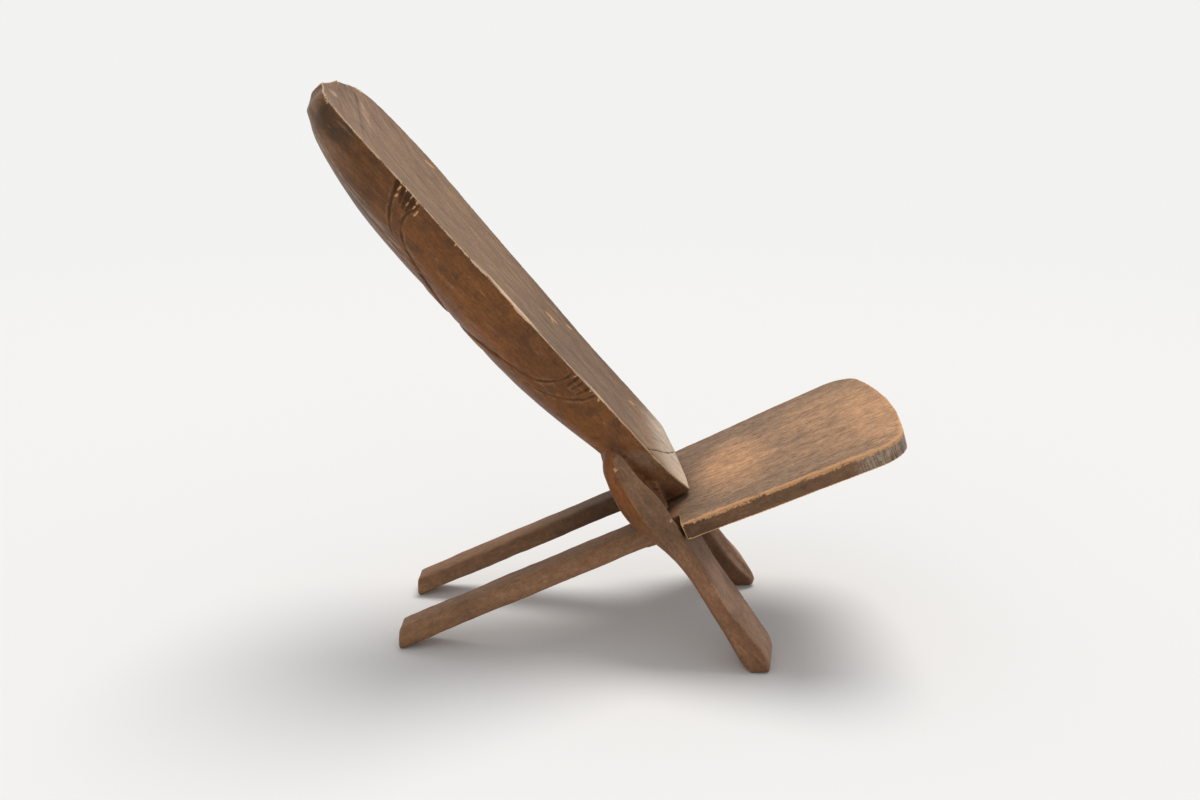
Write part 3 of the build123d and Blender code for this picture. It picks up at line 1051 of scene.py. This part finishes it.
def place_camera():
    """Camera looking along +Y, turned a little left, tipped down and rolled a little."""
    ahead = Vector((
        -math.sin(CAMERA_TURN) * math.cos(CAMERA_DOWN),
        math.cos(CAMERA_TURN) * math.cos(CAMERA_DOWN),
        -math.sin(CAMERA_DOWN),
    ))
    level = Vector((math.cos(CAMERA_TURN), math.sin(CAMERA_TURN), 0.0))
    above = level.cross(ahead)
    right = level * math.cos(CAMERA_ROLL) + above * math.sin(CAMERA_ROLL)
    top = above * math.cos(CAMERA_ROLL) - level * math.sin(CAMERA_ROLL)
    data = bpy.data.cameras.new("camera")
    data.lens = CAMERA_LENS_MM
    data.sensor_width = 36.0
    camera = add_object("camera", data)
    camera.matrix_world = Matrix((right, top, -ahead)).transposed().to_4x4()
    camera.location = CAMERA_PLACE
    bpy.context.scene.camera = camera


def broad_light(name, come_from, spread, strength):
    """Light from one side of the sky, as from a very large soft box."""
    data = bpy.data.lights.new(name, "SUN")
    data.angle = math.radians(spread)
    data.energy = strength
    data.color = DAYLIGHT
    lamp = add_object(name, data)
    lamp.rotation_euler = Vector(come_from).to_track_quat("Z", "Y").to_euler()


def make_floor():
    """Pale floor disc that fades into the white surroundings towards its rim."""
    radius, rings, spokes = 6.0, 24, 96
    turn = np.linspace(0, 2 * np.pi, spokes)
    ring, spoke = np.meshgrid(np.linspace(0, 1, rings), turn, indexing="ij")
    reach = radius * ring ** 2
    grid = np.stack([reach * np.cos(spoke), reach * np.sin(spoke), 0 * reach], axis=-1).reshape(-1, 3)
    i, j = np.meshgrid(np.arange(rings - 1), np.arange(spokes - 1), indexing="ij")
    corner = (i * spokes + j).ravel()
    faces = np.stack([corner, corner + spokes, corner + spokes + 1, corner + 1], axis=1)
    mesh = bpy.data.meshes.new("floor")
    mesh.from_pydata(grid.tolist(), [], faces.tolist())
    floor = add_object("floor", mesh)
    material = bpy.data.materials.new("pale floor")
    board = cleared_board(material)
    position = board.node("ShaderNodeTexCoord").outputs["Object"]
    away = board.vector_math("LENGTH", {0: position})["Value"]
    matt = board.node("ShaderNodeBsdfDiffuse", {"Color": (0.9, 0.895, 0.885, 1)})
    glow = board.node("ShaderNodeEmission", {"Color": PALE_ROOM})
    seen = board.node("ShaderNodeLightPath").outputs["Is Camera Ray"]
    share = board.times(board.ramp(away, 1.4, 4.5), seen)
    both = board.node("ShaderNodeMixShader", {0: share, 1: matt.outputs[0], 2: glow.outputs[0]})
    board.node("ShaderNodeOutputMaterial", {"Surface": both.outputs[0]})
    mesh.materials.append(material)


def make_world():
    """Even pale surroundings: white to the eye, softer as light on the chair."""
    world = bpy.data.worlds.new("studio")
    board = cleared_board(world)
    path = board.node("ShaderNodeLightPath").outputs
    seen = board.math("MAXIMUM", path["Is Camera Ray"], path["Is Glossy Ray"])
    seen = board.math("MAXIMUM", seen, path["Is Transmission Ray"])
    soft = board.node("ShaderNodeBackground", {"Color": (0.97, 0.985, 1.0, 1), "Strength": 0.45})
    white = board.node("ShaderNodeBackground", {"Color": PALE_ROOM, "Strength": 1.0})
    both = board.node("ShaderNodeMixShader", {0: seen, 1: soft.outputs[0], 2: white.outputs[0]})
    board.node("ShaderNodeOutputWorld", {"Surface": both.outputs[0]})
    bpy.context.scene.world = world


place_camera()
make_floor()
make_world()
broad_light("key light", (0.14, 0.28, 1.0), 32, 1.75)
broad_light("fill light", (-0.3, -1.0, 0.45), 70, 0.35)
bpy.context.scene.view_settings.view_transform = "Standard"

for finish, piece in (("back hardwood", carve_back()), ("seat hardwood", carve_seat())):
    piece.data.materials.clear()
    piece.data.materials.append(carved_wood(finish))
